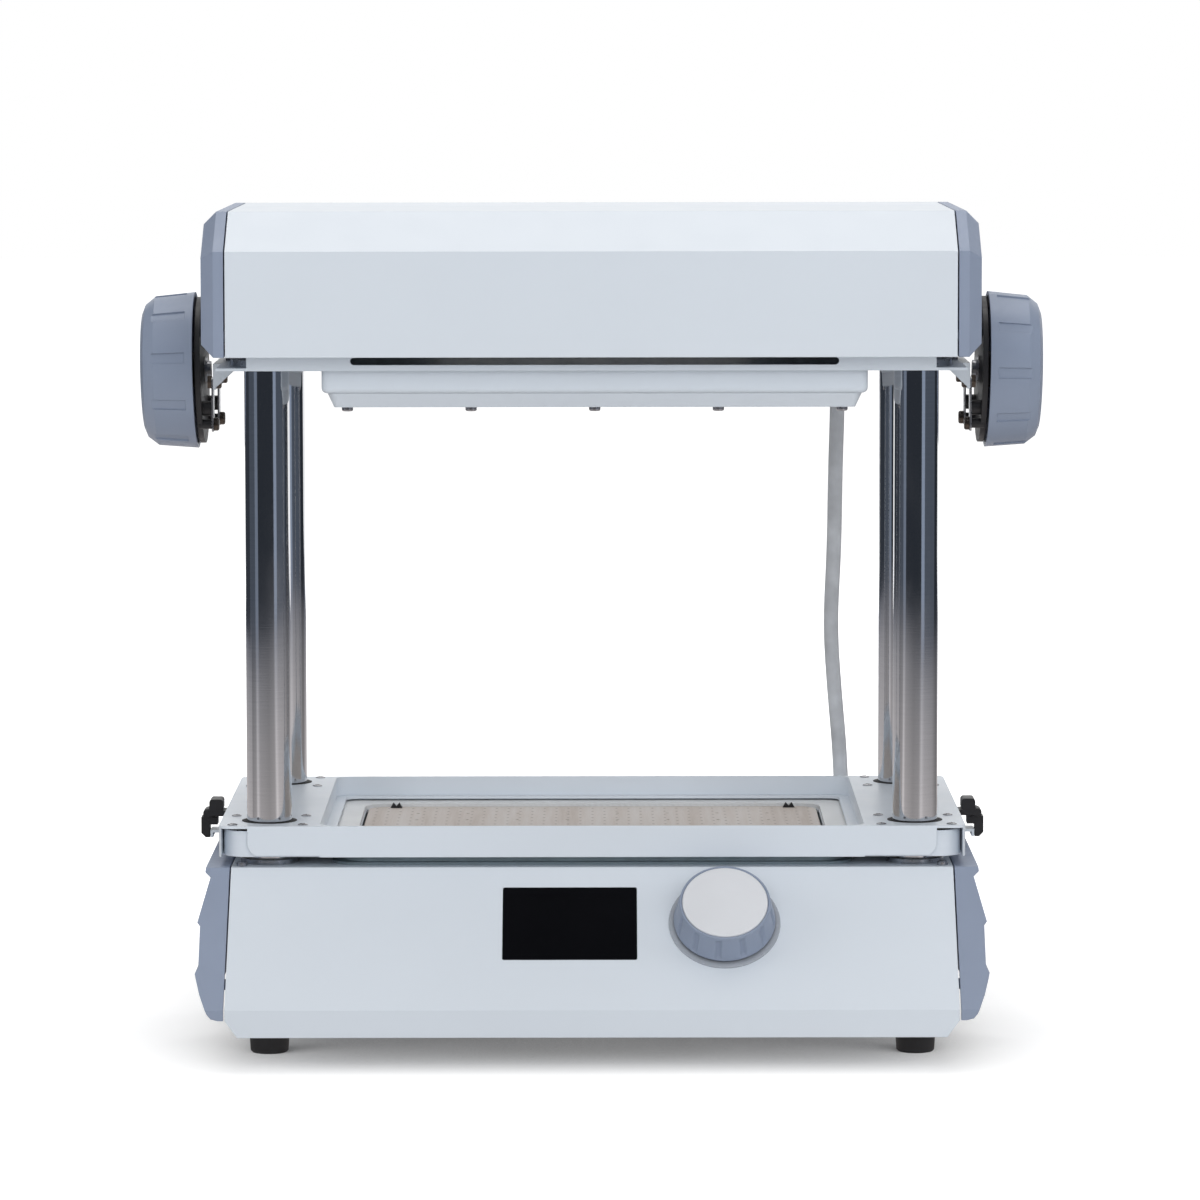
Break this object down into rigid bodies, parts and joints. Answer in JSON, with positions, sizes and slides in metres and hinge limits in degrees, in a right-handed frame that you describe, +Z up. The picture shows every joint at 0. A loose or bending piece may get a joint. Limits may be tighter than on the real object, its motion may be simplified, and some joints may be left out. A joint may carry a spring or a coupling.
{
  "type": "vacuum forming machine",
  "caption": "Hobby vacuum forming machine with a heater head on steel posts, a sliding clamp frame over a perforated board, side hand knobs, a screen and a control knob.",
  "frame": {"origin": "on the table, under the middle of the base", "axes": "+X to the right seen from the front, +Y to the back, +Z up; the fascia faces -Y"},
  "size_m": [0.5096, 0.3249, 0.4675],
  "materials": {
    "white_paint": "smooth powder coat, satin",
    "grey_cap": "moulded blue-grey plastic, satin",
    "polished_steel": "ground and polished",
    "steel": "plain sheet steel",
    "screw_steel": "zinc plated",
    "black_rubber": "soft black rubber",
    "black_plastic": "black moulded plastic",
    "knob_white": "white plastic, satin",
    "knob_grey": "moulded blue-grey plastic, a little glossier than the end caps",
    "dark_screw": "dark bronzed steel",
    "screen_black": "black glass, polished",
    "bezel_chrome": "bright rim",
    "board_wood": "fine-grained pale board, sealed",
    "silicone": "pale silicone, slightly glossy",
    "heater_paint": "grey-white enamel",
    "reflector_metal": "bright reflector sheet",
    "quartz": "milky quartz tube",
    "ceramic_white": "unglazed ceramic",
    "cable_grey": "light grey jacket",
    "boot_grey": "grey moulded boot",
    "circuit_green": "circuit board with parts",
    "supply_metal": "folded case",
    "plenum_black": "black moulded tray",
    "bronze": "sintered bush"
  },
  "bodies": {
    "stand": {"base_shell": "white_paint", "base_pan": "white_paint", "base_cap_left": "grey_cap", "base_cap_right": "grey_cap", "rubber_feet": "black_rubber", "base_screws": "screw_steel", "guide_posts": "polished_steel", "post_sockets": "steel", "post_collars": "steel", "vacuum_plenum": "plenum_black", "forming_board": "board_wood", "board_clips": "black_plastic", "bed_seal": "black_rubber", "vacuum_blower": "black_plastic", "vacuum_hose": "black_rubber", "power_supply": "supply_metal", "driver_board": "circuit_green", "screen_glass": "screen_black", "control_board": "circuit_green", "rotary_encoder": "steel", "knob_bezel": "bezel_chrome", "mains_inlet": "black_plastic", "switch_housing": "black_plastic", "top_cover": "white_paint", "top_cap_left": "grey_cap", "top_cap_right": "grey_cap", "chassis_plate": "white_paint", "heater_box": "white_paint", "heater_rim": "heater_paint", "heater_reflector": "reflector_metal", "heater_tubes": "quartz", "tube_holders": "ceramic_white", "head_screws": "screw_steel", "strap_screws": "dark_screw", "knob_bracket_left": "white_paint", "knob_bracket_right": "white_paint", "knob_straps_left": "steel", "knob_straps_right": "steel", "knob_back_plate_left": "black_plastic", "knob_back_plate_right": "black_plastic", "cable_glands": "boot_grey", "heater_cable": "cable_grey"},
    "carriage": {"lower_frame": "white_paint", "sheet_gasket": "silicone", "linear_bushes": "bronze", "latch_keepers": "white_paint"},
    "clamp": {"clamp_frame": "white_paint", "post_rings": "black_rubber", "clamp_screws": "screw_steel", "latch_brackets": "black_plastic"},
    "lever_left": {"latch_lever_left": "black_plastic"},
    "lever_right": {"latch_lever_right": "black_plastic"},
    "shaft": {"encoder_shaft": "steel"},
    "knob": {"control_knob": "knob_grey", "knob_cap": "knob_white"},
    "handwheel_left": {"side_knob_left": "knob_grey", "knob_hub_left": "steel"},
    "handwheel_right": {"side_knob_right": "knob_grey", "knob_hub_right": "steel"},
    "rocker": {"switch_rocker": "black_plastic"}
  },
  "joints": [
    {"name": "carriage_slide", "type": "slide", "parent": "stand", "child": "carriage", "axis": [0, 0, 1], "range_m": [0, 0.175]},
    {"name": "clamp_lift", "type": "slide", "parent": "carriage", "child": "clamp", "axis": [0, 0, 1], "range_m": [0, 0.025]},
    {"name": "lever_left_turn", "type": "hinge", "parent": "clamp", "child": "lever_left", "pos_m": [-0.22, 0.032, 0.1215], "axis": [0, 1, 0], "range_deg": [0, 100]},
    {"name": "lever_right_turn", "type": "hinge", "parent": "clamp", "child": "lever_right", "pos_m": [0.22, 0.032, 0.1215], "axis": [0, -1, 0], "range_deg": [0, 100]},
    {"name": "knob_press", "type": "slide", "parent": "stand", "child": "shaft", "axis": [0, 0.7071, -0.7071], "range_m": [0, 0.001], "stiffness_N_per_m": 1500, "springref_m": -0.001},
    {"name": "knob_turn", "type": "hinge", "parent": "shaft", "child": "knob", "pos_m": [0.0728, -0.10843, 0.07757], "axis": [0, -0.7071, 0.7071], "continuous": true},
    {"name": "side_knob_left_turn", "type": "hinge", "parent": "stand", "child": "handwheel_left", "pos_m": [-0.2142, 0.032, 0.375], "axis": [-0.9998, 0, -0.0175], "continuous": true},
    {"name": "side_knob_right_turn", "type": "hinge", "parent": "stand", "child": "handwheel_right", "pos_m": [0.2142, 0.032, 0.375], "axis": [0.9998, 0, -0.0175], "continuous": true},
    {"name": "switch_rock", "type": "hinge", "parent": "stand", "child": "rocker", "pos_m": [-0.1, 0.147, 0.062], "axis": [0, 0, 1], "range_deg": [-6, 6]}
  ]
}
